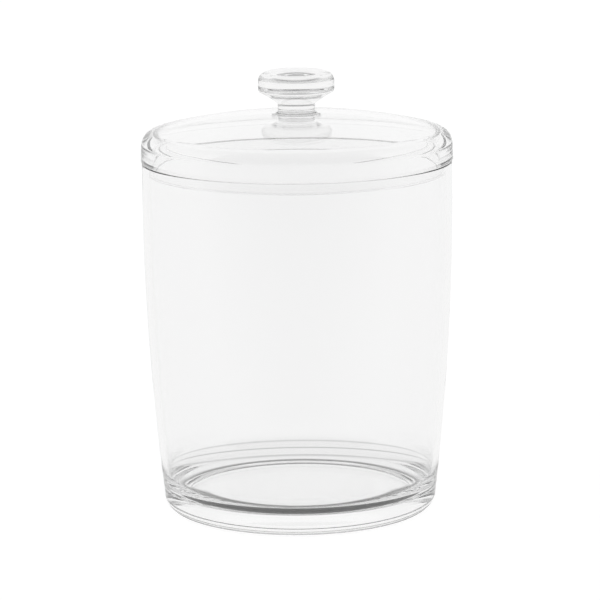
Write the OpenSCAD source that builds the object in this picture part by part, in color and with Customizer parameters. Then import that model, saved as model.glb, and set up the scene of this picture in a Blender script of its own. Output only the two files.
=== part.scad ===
// Clear storage canister: a deep vessel that draws in to a thick base, and a domed lid with a solid knob.
// Every piece is turned about the Z axis. The canister stands on Z = 0.

/* [Canister] */
// Outer diameter at the rim
canister_d = 160; // [130:1:210]
// Height of the rim above the surface that the canister stands on
canister_h = 183; // [110:1:280]
// Thickness of the wall
wall_t = 3; // [2:0.1:5]
// Height of the upright stretch under the rim, before the wall starts to draw in
upright_h = 18; // [8:1:40]
// How far the wall's curve draws in by the time it reaches the base
draw_in = 10; // [4:0.5:20]
// Rounding of the rim's two edges
rim_edge_r = 0.8; // [0.3:0.1:1.2]

/* [Base] */
// Thickness of the floor
floor_t = 10; // [4:0.5:16]
// Rounding between the wall and the floor, inside
floor_edge_r = 13; // [2:0.5:16]
// Rounding between the wall and the base, outside
foot_edge_r = 7.5; // [2:0.5:10]
// Width of the flat ring that the canister stands on
foot_ring_w = 4.5; // [2.5:0.5:10]
// Depth of the recess inside that ring
foot_recess_h = 1; // [0.4:0.1:2.5]
// Rounding of the recess's upper edge
foot_recess_r = 0.9; // [0.3:0.1:2.5]

/* [Lid] */
// How far the lid's rim stands out past the canister's
lid_overhang = 0.5; // [0:0.1:2]
// Height of the rim's upright face, from its lower edge to the crease under the shoulder
rim_h = 9; // [5:0.1:16]
// How far the rim's face leans in from its lower edge to its upper edge
rim_draft = 0.3; // [0:0.1:1]
// Rounding of the rim's lower edge
lid_edge_r = 0.8; // [0.2:0.1:1]
// How far the shoulder is set in behind the rim at the crease
crease_w = 0.3; // [0.1:0.1:0.6]
// Rounding of the rim's upper edge, which runs down into the crease
crease_r = 0.7; // [0.4:0.1:1.5]
// Rounding of the shoulder between the rim and the dome
shoulder_r = 6; // [5:0.1:12]
// Radius of the dome's arc
dome_r = 316; // [200:1:800]
// Thickness of the dome
dome_t = 3.2; // [2:0.1:4.5]
// Rounding under the shoulder
under_shoulder_r = 5; // [2:0.5:8]
// Depth of the skirt that locates the lid in the canister's mouth
skirt_h = 6; // [3:0.5:14]
// Thickness of the skirt
skirt_t = 2.2; // [1.4:0.1:4]
// Gap all round between the skirt and the mouth
skirt_gap = 0.4; // [0.2:0.1:1]
// Lead-in at the skirt's lower edge
skirt_lead = 0.6; // [0.2:0.1:1]

/* [Knob] */
// Diameter of the disc
knob_d = 39.2; // [30:0.2:60]
// Height of the disc's underside above the seat
disc_z = 11; // [8:0.1:14]
// Height from the disc's underside to its upright side
disc_low_h = 1.2; // [0.4:0.1:1.3]
// Rounding of the disc's lower edge
disc_low_r = 1.4; // [1.3:0.1:4]
// Height of the disc's upright side
disc_side_h = 4.3; // [1:0.1:8]
// Rounding of the disc's upper edge
disc_top_r = 4.8; // [2:0.1:8]
// Radius of the slight crown on the disc's top
crown_r = 150; // [80:1:400]
// Diameter of the neck
neck_d = 19.4; // [12:0.2:26]
// Height of the neck's upright stretch above the seat
neck_h = 4.9; // [3:0.1:7]
// Radius of the slightly hollow cone between the neck and the disc
flare_r = 80; // [20:1:200]
// Rounding between the neck and its foot
foot_flare_r = 0.8; // [0.4:0.1:2.4]
// Thickness of the foot's edge
foot_lip_h = 0.3; // [0.2:0.1:1]
// Height of the seat that the lid raises for the knob
seat_h = 0.3; // [0.2:0.1:2]
// How far that seat stands out past the knob's foot
seat_margin = 0.4; // [0.2:0.1:2]

/* [Hidden] */
$fn = 120;
// Largest turn between two points of a rounding, in degrees
ROUND_STEP = 9;
// Largest turn between two points of a long arc, such as the wall's or the dome's, in degrees
LONG_STEP = 0.5;
CLEAR_TINT = [0.93, 0.95, 0.95, 0.45];

// The canister's wall: upright above wall_arc_z, and one long arc below it
canister_r = canister_d / 2;
mouth_r = canister_r - wall_t;
wall_arc_z = canister_h - upright_h;
wall_arc_r = (pow(wall_arc_z, 2) + pow(draw_in, 2)) / (2 * draw_in);
wall_arc_centre = [canister_r - wall_arc_r, wall_arc_z];
foot_edge = edge_centre(wall_arc_r, foot_edge_r, foot_edge_r);
floor_edge = edge_centre(wall_arc_r - wall_t, floor_edge_r, floor_t + floor_edge_r);
recess_r = foot_edge[0] - foot_ring_w;
recess_edge_r = min(foot_recess_r, foot_recess_h);
rim_edge_z = canister_h - rim_edge_r;

// The lid rests on the canister's rim, and its skirt drops into the mouth
lid_r = canister_r + lid_overhang;
rim_top_r = lid_r - rim_draft;
rim_top_z = canister_h + rim_h;
skirt_r = mouth_r - skirt_gap;
skirt_inner_r = skirt_r - skirt_t;
skirt_low_z = canister_h - skirt_h;
crease_turn = acos(1 - crease_w / crease_r);
crease = [rim_top_r - crease_r, rim_top_z - crease_r * sin(crease_turn)];
shoulder = [rim_top_r - crease_w - shoulder_r, rim_top_z];
dome_centre = [0, rim_top_z - sqrt(pow(dome_r - shoulder_r, 2) - pow(shoulder[0], 2))];
dome_top_z = dome_centre[1] + dome_r;
under_dome_r = dome_r - dome_t;
under_shoulder_x = skirt_inner_r - under_shoulder_r;
under_shoulder = [
    under_shoulder_x,
    dome_centre[1] + sqrt(pow(under_dome_r - under_shoulder_r, 2) - pow(under_shoulder_x, 2))
];

// The knob stands on the lid's seat
knob_z = dome_top_z + seat_h;
neck_r = neck_d / 2;
foot_r = neck_r + foot_flare_r;
seat_r = foot_r + seat_margin;
knob_r = knob_d / 2;
disc_low = [knob_r - disc_low_r, disc_z + disc_low_h];
disc_edge = [disc_low[0] + sqrt(pow(disc_low_r, 2) - pow(disc_low_h, 2)), disc_z];
disc_top = [knob_r - disc_top_r, disc_low[1] + disc_side_h];
crown = [0, disc_top[1] - sqrt(pow(crown_r - disc_top_r, 2) - pow(disc_top[0], 2))];
neck_top = [neck_r, neck_h];
flare = hollow_centre(neck_top, disc_edge, flare_r);

// Direction from point a to point b, in degrees
function bearing(a, b) = atan2(b[1] - a[1], b[0] - a[0]);

// Points along an arc, from one bearing to another
function arc(centre, r, from, to, step = ROUND_STEP) =
    let (n = max(2, ceil(abs(to - from) / step)))
    [for (i = [0 : n]) let (a = from + (to - from) * i / n) centre + r * [cos(a), sin(a)]];

// Centre, at height z, of the rounding that touches a wall's long arc from inside
function edge_centre(arc_r, edge_r, z) =
    [wall_arc_centre[0] + sqrt(pow(arc_r - edge_r, 2) - pow(wall_arc_z - z, 2)), z];

// Centre of the hollow arc of radius r that runs from point a up to point b
function hollow_centre(a, b, r) =
    let (half = (b - a) / 2, c = norm(half), reach = sqrt(r * r - c * c))
    a + half + [half[1], -half[0]] * reach / c;

// The vessel, moulded in one piece with its thick floor and the ring it stands on.
// The outline runs from under the floor, up the outside, over the rim and down the inside.
module canister() {
    foot_way = bearing(wall_arc_centre, foot_edge);
    floor_way = bearing(wall_arc_centre, floor_edge);
    recess_edge = [recess_r - recess_edge_r, foot_recess_h - recess_edge_r];
    color(CLEAR_TINT)
        rotate_extrude()
            polygon(concat(
                [[0, foot_recess_h]],
                arc(recess_edge, recess_edge_r, 90, 0),
                [[recess_r, 0]],
                arc(foot_edge, foot_edge_r, -90, foot_way),
                arc(wall_arc_centre, wall_arc_r, foot_way, 0, LONG_STEP),
                arc([canister_r - rim_edge_r, rim_edge_z], rim_edge_r, 0, 90),
                arc([mouth_r + rim_edge_r, rim_edge_z], rim_edge_r, 90, 180),
                arc(wall_arc_centre, wall_arc_r - wall_t, 0, floor_way, LONG_STEP),
                arc(floor_edge, floor_edge_r, floor_way, -90),
                [[0, floor_t]]
            ));
}

// The lid: a dome of even thickness on a deep rim, with a crease round the shoulder and a skirt that drops
// into the mouth. The outline runs from the knob's seat over the dome and the rim, and back under the dome.
module lid() {
    shoulder_way = bearing(dome_centre, shoulder);
    under_way = bearing(dome_centre, under_shoulder);
    color(CLEAR_TINT)
        rotate_extrude()
            polygon(concat(
                [[0, knob_z], [seat_r, knob_z]],
                arc(dome_centre, dome_r, acos(seat_r / dome_r), shoulder_way, LONG_STEP),
                arc(shoulder, shoulder_r, shoulder_way, 0),
                arc(crease, crease_r, crease_turn, 0),
                arc([lid_r - lid_edge_r, canister_h + lid_edge_r], lid_edge_r, 0, -90),
                [
                    [skirt_r, canister_h],
                    [skirt_r, skirt_low_z + skirt_lead],
                    [skirt_r - skirt_lead, skirt_low_z],
                    [skirt_inner_r, skirt_low_z]
                ],
                arc(under_shoulder, under_shoulder_r, 0, under_way),
                arc(dome_centre, under_dome_r, under_way, 90, LONG_STEP)
            ));
}

// The knob, one solid moulding: a foot, a neck, a cone and a disc with an upright side and a slight crown.
// The outline runs from the foot's underside up to the middle of the top.
module knob() {
    foot_flare = [foot_r, foot_lip_h + foot_flare_r];
    crown_way = bearing(crown, disc_top);
    color(CLEAR_TINT)
        translate([0, 0, knob_z])
            rotate_extrude()
                polygon(concat(
                    [[0, 0], [foot_r, 0]],
                    arc(foot_flare, foot_flare_r, -90, -180),
                    arc(flare, flare_r, bearing(flare, neck_top), bearing(flare, disc_edge), LONG_STEP),
                    arc(disc_low, disc_low_r, bearing(disc_low, disc_edge), 0),
                    arc(disc_top, disc_top_r, 0, crown_way),
                    arc(crown, crown_r, crown_way, 90, LONG_STEP)
                ));
}

canister();
lid();
knob();
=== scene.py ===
from math import acos, atan2, pi, radians, sin, sqrt

import bpy
from mathutils import Matrix, Vector


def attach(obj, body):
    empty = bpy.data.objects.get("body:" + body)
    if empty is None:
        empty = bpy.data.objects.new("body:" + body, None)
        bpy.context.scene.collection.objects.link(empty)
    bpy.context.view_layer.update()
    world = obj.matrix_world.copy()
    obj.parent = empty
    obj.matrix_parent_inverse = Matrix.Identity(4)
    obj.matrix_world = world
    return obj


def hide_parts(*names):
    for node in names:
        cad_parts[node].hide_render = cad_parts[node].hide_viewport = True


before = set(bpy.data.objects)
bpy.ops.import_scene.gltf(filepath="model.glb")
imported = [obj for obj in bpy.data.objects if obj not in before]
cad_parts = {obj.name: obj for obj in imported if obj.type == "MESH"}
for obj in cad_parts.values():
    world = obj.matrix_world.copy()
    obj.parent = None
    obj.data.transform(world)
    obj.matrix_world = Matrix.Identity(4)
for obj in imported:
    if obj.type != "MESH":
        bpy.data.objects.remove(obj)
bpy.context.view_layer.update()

# The camera stands 1.9 m in front of the canister and looks down on its lid by 11 degrees, through a long
# lens. It is turned a little about its own axis, as the photograph is, which leans the knob to the left.
camera_at = Vector((0, -1.8355, 0.4726))
camera_down = 0.1956
camera_roll = -0.0104
sensor_w = 36
lens_mm = 216.1
axis_left_of_middle = 1.6 / 600
bpy.ops.object.camera_add(location=camera_at)
camera = bpy.context.object
aim = Matrix.Rotation(pi / 2 - camera_down, 3, "X") @ Matrix.Rotation(camera_roll, 3, "Z")
camera.rotation_euler = aim.to_euler()
camera.data.sensor_width = sensor_w
camera.data.lens = lens_mm
camera.data.shift_x = axis_left_of_middle
bpy.context.scene.camera = camera


# The canister is one clear plastic moulding: a 3 mm wall that stands upright under the rim and then draws in
# on one long arc, and a 10 mm floor that rests on a flat ring. Its outline is drawn once and turned about Z.
canister_r = 0.080
canister_h = 0.183
wall_t = 0.003
upright_h = 0.018
draw_in = 0.010
rim_edge_r = 0.0008
rim_gap = 0.00005
floor_t = 0.010
floor_edge_r = 0.013
foot_edge_r = 0.0075
foot_ring_w = 0.0045
foot_recess_h = 0.001
foot_recess_r = 0.0009
turn_steps = 256
fine_step = radians(5)
long_step = radians(0.14)
straight_step = 0.0016
corner_r = 0.00025
corner_steps = 4
same_place = 1e-6


def bearing(a, b):
    """Direction from a to b in the XZ plane, counter-clockwise from +X."""
    return atan2(b[1] - a[1], b[0] - a[0])


def begin_outline(name, x, z):
    """A new mesh with one selected vertex, left in edit mode: the start of an outline in the XZ plane."""
    bpy.ops.object.select_all(action="DESELECT")
    bpy.ops.mesh.primitive_plane_add(location=(x, 0, z))
    piece = bpy.context.object
    piece.name = piece.data.name = name
    bpy.ops.object.transform_apply(location=True)
    bpy.ops.object.mode_set(mode="EDIT")
    bpy.ops.mesh.merge(type="CENTER")
    return piece


def line_by(x, z):
    """Draws the outline on by a straight stretch, cut into short steps."""
    steps = max(1, round(sqrt(x * x + z * z) / straight_step))
    for _ in range(steps):
        bpy.ops.mesh.extrude_vertices_move(TRANSFORM_OT_translate={"value": (x / steps, 0, z / steps)})


def arc_by(centre, turn, step=fine_step):
    """Draws the outline on along an arc about a centre, counter-clockwise where turn is positive."""
    steps = max(3, round(abs(turn) / step))
    bpy.ops.mesh.spin(steps=steps, angle=turn, center=(centre[0], 0, centre[1]), axis=(0, 1, 0))


def end_of_outline():
    """Where the outline has got to: its selected vertex."""
    mesh = bpy.context.object.data
    bpy.context.object.update_from_editmode()
    return next(v.co.xz for v in mesh.vertices if v.select)


def line_to(x, z):
    here = end_of_outline()
    line_by(x - here[0], z - here[1])


def soften(piece, corners):
    """Rounds the outline's own sharp corners by the little that a mould leaves."""
    bpy.ops.mesh.select_all(action="DESELECT")
    bpy.ops.object.mode_set(mode="OBJECT")
    for vertex in piece.data.vertices:
        vertex.select = any((vertex.co.xz - Vector(corner)).length < same_place for corner in corners)
    bpy.ops.object.mode_set(mode="EDIT")
    bpy.ops.mesh.bevel(affect="VERTICES", offset=corner_r, segments=corner_steps)


def turn_outline(piece):
    """Turns the finished outline about Z into a closed, smooth shell with its faces outwards."""
    bpy.ops.object.mode_set(mode="OBJECT")
    bpy.ops.object.modifier_add(type="SCREW")
    turned = piece.modifiers[-1]
    turned.steps = turned.render_steps = turn_steps
    turned.use_merge_vertices = True
    turned.merge_threshold = same_place
    bpy.ops.object.modifier_apply(modifier=turned.name)
    bpy.ops.object.mode_set(mode="EDIT")
    bpy.ops.mesh.select_all(action="SELECT")
    bpy.ops.mesh.remove_doubles(threshold=same_place)
    bpy.ops.mesh.normals_make_consistent(inside=False)
    bpy.ops.object.mode_set(mode="OBJECT")
    bpy.ops.object.shade_smooth()


wall_arc_z = canister_h - upright_h
wall_arc_r = (wall_arc_z**2 + draw_in**2) / (2 * draw_in)
wall_centre = (canister_r - wall_arc_r, wall_arc_z)
foot_centre = (
    wall_centre[0] + sqrt((wall_arc_r - foot_edge_r) ** 2 - (wall_arc_z - foot_edge_r) ** 2),
    foot_edge_r,
)
floor_edge_z = floor_t + floor_edge_r
floor_centre = (
    wall_centre[0] + sqrt((wall_arc_r - wall_t - floor_edge_r) ** 2 - (wall_arc_z - floor_edge_z) ** 2),
    floor_edge_z,
)
recess_r = foot_centre[0] - foot_ring_w
foot_way = bearing(wall_centre, foot_centre)
floor_way = bearing(wall_centre, floor_centre)

canister = begin_outline("canister_shell", 0, foot_recess_h)
line_by(recess_r - foot_recess_r, 0)
arc_by((recess_r - foot_recess_r, foot_recess_h - foot_recess_r), -pi / 2)
line_to(recess_r, 0)
line_to(foot_centre[0], 0)
arc_by(foot_centre, foot_way + pi / 2)
arc_by(wall_centre, -foot_way, long_step)
line_to(canister_r, canister_h - rim_edge_r - rim_gap)
arc_by((canister_r - rim_edge_r, canister_h - rim_edge_r - rim_gap), pi / 2)
line_to(canister_r - wall_t + rim_edge_r, canister_h - rim_gap)
arc_by((canister_r - wall_t + rim_edge_r, canister_h - rim_edge_r - rim_gap), pi / 2)
line_to(canister_r - wall_t, wall_arc_z)
arc_by(wall_centre, floor_way, long_step)
arc_by(floor_centre, -pi / 2 - floor_way)
line_to(0, floor_t)
soften(canister, [(recess_r, 0)])
turn_outline(canister)


plastic_ior = 1.49
ripple_scale = 28
ripple_detail = 1
haze_scale = 60
haze_detail = 3
haze_from = 0.55
haze_full = 0.8
haze_roughness = 0.03
body_clearness = 0.975
body_waviness = 0.00002


def clear_plastic(name, clearness, waviness):
    """Polished clear plastic, with the slow ripple that a mould leaves and a few soft hazy spots of use."""
    material = bpy.data.materials.new(name)
    material.use_nodes = True
    nodes, links = material.node_tree.nodes, material.node_tree.links
    shader = nodes["Principled BSDF"]
    shader.inputs["Base Color"].default_value = (clearness, clearness, clearness, 1)
    shader.inputs["IOR"].default_value = plastic_ior
    shader.inputs["Transmission Weight"].default_value = 1
    place = nodes.new("ShaderNodeTexCoord")
    ripple = nodes.new("ShaderNodeTexNoise")
    ripple.inputs["Scale"].default_value = ripple_scale
    ripple.inputs["Detail"].default_value = ripple_detail
    links.new(place.outputs["Object"], ripple.inputs["Vector"])
    bump = nodes.new("ShaderNodeBump")
    bump.inputs["Strength"].default_value = 1
    bump.inputs["Distance"].default_value = waviness
    links.new(ripple.outputs["Fac"], bump.inputs["Height"])
    links.new(bump.outputs["Normal"], shader.inputs["Normal"])
    haze = nodes.new("ShaderNodeTexNoise")
    haze.inputs["Scale"].default_value = haze_scale
    haze.inputs["Detail"].default_value = haze_detail
    links.new(place.outputs["Object"], haze.inputs["Vector"])
    spread = nodes.new("ShaderNodeMapRange")
    spread.inputs["From Min"].default_value = haze_from
    spread.inputs["From Max"].default_value = haze_full
    spread.inputs["To Max"].default_value = haze_roughness
    links.new(haze.outputs["Fac"], spread.inputs["Value"])
    links.new(spread.outputs["Result"], shader.inputs["Roughness"])
    return material


body_plastic = clear_plastic("clear_body_plastic", body_clearness, body_waviness)
canister.data.materials.append(body_plastic)
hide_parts("canister")
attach(canister, "canister")


# The lid is moulded from the same clear plastic: a shallow dome of even thickness on a deep rim, with a
# crease round its shoulder, a skirt that drops into the canister's mouth and a low round seat for the knob.
lid_overhang = 0.0005
rim_h = 0.009
rim_draft = 0.0003
lid_edge_r = 0.0008
crease_w = 0.0003
crease_r = 0.0007
shoulder_r = 0.006
dome_r = 0.316
dome_t = 0.0032
under_shoulder_r = 0.005
skirt_h = 0.006
skirt_t = 0.0022
skirt_gap = 0.0004
skirt_lead = 0.0006
seat_h = 0.0003
seat_margin = 0.0004
neck_r = 0.0097
foot_flare_r = 0.0008
dome_step = radians(0.4)
lid_clearness = 0.975
lid_waviness = 0.00002

lid_r = canister_r + lid_overhang
rim_top = (lid_r - rim_draft, canister_h + rim_h)
crease_turn = acos(1 - crease_w / crease_r)
crease = (rim_top[0] - crease_r, rim_top[1] - crease_r * sin(crease_turn))
shoulder = (rim_top[0] - crease_w - shoulder_r, rim_top[1])
dome_centre = (0, rim_top[1] - sqrt((dome_r - shoulder_r) ** 2 - shoulder[0] ** 2))
seat_r = neck_r + foot_flare_r + seat_margin
seat_z = dome_centre[1] + dome_r + seat_h
skirt_r = canister_r - wall_t - skirt_gap
under_shoulder_x = skirt_r - skirt_t - under_shoulder_r
under_dome_r = dome_r - dome_t
under_shoulder = (
    under_shoulder_x,
    dome_centre[1] + sqrt((under_dome_r - under_shoulder_r) ** 2 - under_shoulder_x**2),
)
shoulder_way = bearing(dome_centre, shoulder)
under_way = bearing(dome_centre, under_shoulder)
seat_way = acos(seat_r / dome_r)
skirt_low_z = canister_h - skirt_h

lid = begin_outline("lid_shell", 0, dome_centre[1] + under_dome_r)
arc_by(dome_centre, under_way - pi / 2, dome_step)
arc_by(under_shoulder, -under_way)
line_to(skirt_r - skirt_t, skirt_low_z)
line_to(skirt_r - skirt_lead, skirt_low_z)
line_to(skirt_r, skirt_low_z + skirt_lead)
line_to(skirt_r, canister_h)
line_to(lid_r - lid_edge_r, canister_h)
arc_by((lid_r - lid_edge_r, canister_h + lid_edge_r), pi / 2)
line_to(rim_top[0], crease[1])
arc_by(crease, crease_turn)
arc_by(shoulder, shoulder_way)
arc_by(dome_centre, seat_way - shoulder_way, dome_step)
line_to(seat_r, seat_z)
line_to(0, seat_z)
soften(lid, [(skirt_r - skirt_t, skirt_low_z), (skirt_r, canister_h), (seat_r, seat_z)])
turn_outline(lid)
lid_plastic = clear_plastic("clear_lid_plastic", lid_clearness, lid_waviness)
lid.data.materials.append(lid_plastic)
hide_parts("lid")
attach(lid, "lid")


# The knob is a solid clear moulding, bonded on the lid's seat: a small foot, a neck, a cone, and a disc with
# an upright side and a slight crown. Its foot is set into the seat by a hair, as the bond joins the two.
knob_r = 0.0196
disc_z = 0.011
disc_low_h = 0.0012
disc_low_r = 0.0014
disc_side_h = 0.0043
disc_top_r = 0.0048
crown_r = 0.150
neck_h = 0.0049
flare_r = 0.080
foot_lip_h = 0.0003
bond_depth = 0.0002
cone_step = radians(1)
knob_clearness = 0.96
knob_waviness = 0.00001

disc_low = (knob_r - disc_low_r, seat_z + disc_z + disc_low_h)
disc_edge = (disc_low[0] + sqrt(disc_low_r**2 - disc_low_h**2), seat_z + disc_z)
disc_top = (knob_r - disc_top_r, disc_low[1] + disc_side_h)
crown = (0, disc_top[1] - sqrt((crown_r - disc_top_r) ** 2 - disc_top[0] ** 2))
crown_way = bearing(crown, disc_top)
neck_top = (neck_r, seat_z + neck_h)
half = (Vector(disc_edge) - Vector(neck_top)) / 2
reach = sqrt(flare_r**2 - half.length_squared)
flare = Vector(neck_top) + half + Vector((half.y, -half.x)).normalized() * reach
foot_r = neck_r + foot_flare_r
foot_flare = (foot_r, seat_z + foot_lip_h + foot_flare_r)

knob = begin_outline("knob_solid", 0, seat_z - bond_depth)
line_to(foot_r, seat_z - bond_depth)
line_to(foot_r, seat_z + foot_lip_h)
arc_by(foot_flare, -pi / 2)
line_to(neck_r, seat_z + neck_h)
arc_by(flare, bearing(flare, disc_edge) - bearing(flare, neck_top), cone_step)
arc_by(disc_low, -bearing(disc_low, disc_edge))
line_to(knob_r, disc_top[1])
arc_by(disc_top, crown_way)
arc_by(crown, pi / 2 - crown_way, dome_step)
soften(knob, [(foot_r, seat_z + foot_lip_h), disc_edge])
turn_outline(knob)
knob_plastic = clear_plastic("clear_knob_plastic", knob_clearness, knob_waviness)
knob.data.materials.append(knob_plastic)
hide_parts("knob")
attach(knob, "lid")


# The table is a plain pale sheet, white to the camera. Through the clear plastic it shows listed tones of
# painted
# shade: a dark ring of painted shadow under the foot, which a painted sheen at a low look along the sheet
# washes out, and thin rings of painted shade round it. Where the plastic mirrors the camera's side, the
# sheet is painted dimmer.
table_w = 12
table_gap = 0.0002
table_white = 0.93
table_grey = (0.15, 0.15, 0.15, 1)
ring_span = 0.2
# Tones of painted shade by distance from the axis: a painted shadow under the foot and thin painted shade
# rings.
painted_shade_tones = [
    (0.0480, 0.86), (0.0520, 0.08), (0.0675, 0.08), (0.0710, 0.83), (0.0755, 0.83), (0.0770, 0.45),
    (0.0785, 0.83), (0.0900, 0.83), (0.0920, 0.35), (0.0940, 0.83), (0.1100, 0.83), (0.1130, 0.60),
    (0.1160, 0.60), (0.1200, 0.83), (0.1450, 0.86),
]
foot_shade_r = 0.072
# A painted sheen: at a low slant the painted shadow under the foot washes out to a pale tone.
sheen_view = (0.62, 0.72)
painted_sheen_tone = 0.87
# Painted shade: the sheet's camera side is dimmed where the plastic mirrors it.
front_near_y = -0.2
front_far_y = -1.2
mirror_dim = 0.6
half_bounce = 0.5
bpy.ops.object.select_all(action="DESELECT")
bpy.ops.mesh.primitive_plane_add(size=table_w, location=(0, 0, -table_gap))
table = bpy.context.object
table.name = table.data.name = "table"
bpy.ops.object.transform_apply(location=True)
paper = bpy.data.materials.new("pale_table")
paper.use_nodes = True
nodes, links = paper.node_tree.nodes, paper.node_tree.links
nodes.clear()


def calculate(operation, first, second):
    """A Math node on two sockets or numbers, and its result."""
    node = nodes.new("ShaderNodeMath")
    node.operation = operation
    for socket, value in zip(node.inputs, (first, second)):
        if isinstance(value, (int, float)):
            socket.default_value = value
        else:
            links.new(value, socket)
    return node.outputs["Value"]


def stretch(value, low, high, to_low, to_high):
    """A Map Range node from low..high to to_low..to_high, and its result."""
    node = nodes.new("ShaderNodeMapRange")
    for name, number in zip(("From Min", "From Max", "To Min", "To Max"), (low, high, to_low, to_high)):
        node.inputs[name].default_value = number
    links.new(value, node.inputs["Value"])
    return node.outputs["Result"]


out = nodes.new("ShaderNodeOutputMaterial")
lit = nodes.new("ShaderNodeBsdfDiffuse")
lit.inputs["Color"].default_value = table_grey
glow = nodes.new("ShaderNodeEmission")
both = nodes.new("ShaderNodeAddShader")
path = nodes.new("ShaderNodeLightPath")
slant = nodes.new("ShaderNodeLayerWeight")
place = nodes.new("ShaderNodeTexCoord")
split = nodes.new("ShaderNodeSeparateXYZ")
from_axis = nodes.new("ShaderNodeVectorMath")
from_axis.operation = "LENGTH"
rings = nodes.new("ShaderNodeValToRGB")
links.new(place.outputs["Object"], from_axis.inputs[0])
links.new(place.outputs["Object"], split.inputs["Vector"])
# A ramp of painted shade by distance from the axis, seen only through the plastic.
links.new(calculate("DIVIDE", from_axis.outputs["Value"], ring_span), rings.inputs["Fac"])
stops = rings.color_ramp.elements
while len(stops) < len(painted_shade_tones):
    stops.new(foot_shade_r / ring_span)
for stop, (radius, tone) in zip(stops, painted_shade_tones):
    stop.position = radius / ring_span
    stop.color = (tone, tone, tone, 1)
# Painted sheen: inside the foot's ring the painted shadow is lifted where the sheet is seen at a low slant.
near = calculate("LESS_THAN", from_axis.outputs["Value"], foot_shade_r)
low = calculate("MULTIPLY", stretch(slant.outputs["Facing"], *sheen_view, 0, painted_sheen_tone), near)
through = calculate("MAXIMUM", rings.outputs["Color"], low)
# Painted shade on the sheet's camera side, seen only in the plastic's reflections.
mirrored = calculate("GREATER_THAN", path.outputs["Glossy Depth"], half_bounce)
front = calculate("MULTIPLY", stretch(split.outputs["Y"], front_near_y, front_far_y, 0, 1), mirrored)
through = calculate("MULTIPLY", through, stretch(front, 0, 1, 1, mirror_dim))
unseen = calculate("SUBTRACT", 1, path.outputs["Is Camera Ray"])
seen = calculate("MULTIPLY", path.outputs["Is Camera Ray"], table_white)
links.new(calculate("ADD", seen, calculate("MULTIPLY", through, unseen)), glow.inputs["Strength"])
links.new(lit.outputs["BSDF"], both.inputs[0])
links.new(glow.outputs["Emission"], both.inputs[1])
links.new(both.outputs["Shader"], out.inputs["Surface"])
table.data.materials.append(paper)


# The light is one soft studio tent, white all round and dimmer overhead. What the plastic mirrors from the
# camera's side is the dim end of the studio.
tent_white = 0.98
tent_top = 0.4
tent_fade = (0.6, 0.9)
dim_top = 0.1
dim_fade = (0.15, 0.35)
dim_end_y = -0.3
world = bpy.data.worlds.new("studio_tent")
bpy.context.scene.world = world
world.use_nodes = True
nodes, links = world.node_tree.nodes, world.node_tree.links
nodes.clear()
out = nodes.new("ShaderNodeOutputWorld")
tent = nodes.new("ShaderNodeBackground")
path = nodes.new("ShaderNodeLightPath")
way = nodes.new("ShaderNodeTexCoord")
split = nodes.new("ShaderNodeSeparateXYZ")
blend = nodes.new("ShaderNodeMix")
links.new(way.outputs["Generated"], split.inputs["Vector"])
mirrored = calculate("GREATER_THAN", path.outputs["Glossy Depth"], half_bounce)
front = calculate("MULTIPLY", calculate("LESS_THAN", split.outputs["Y"], dim_end_y), mirrored)
links.new(front, blend.inputs["Factor"])
links.new(stretch(split.outputs["Z"], *tent_fade, tent_white, tent_top), blend.inputs["A"])
links.new(stretch(split.outputs["Z"], *dim_fade, mirror_dim, dim_top), blend.inputs["B"])
glare = calculate("MAXIMUM", path.outputs["Is Camera Ray"], blend.outputs["Result"])
links.new(glare, tent.inputs["Strength"])
links.new(tent.outputs["Background"], out.inputs["Surface"])
tent.inputs["Color"].default_value = (1, 1, 1, 1)

# Light passes many faces of clear plastic before it leaves, so it is followed through more than usual.
clear_bounces = 32
mirror_bounces = 16
scene = bpy.context.scene
scene.cycles.max_bounces = clear_bounces
scene.cycles.transmission_bounces = clear_bounces
scene.cycles.glossy_bounces = mirror_bounces
scene.view_settings.view_transform = "Standard"
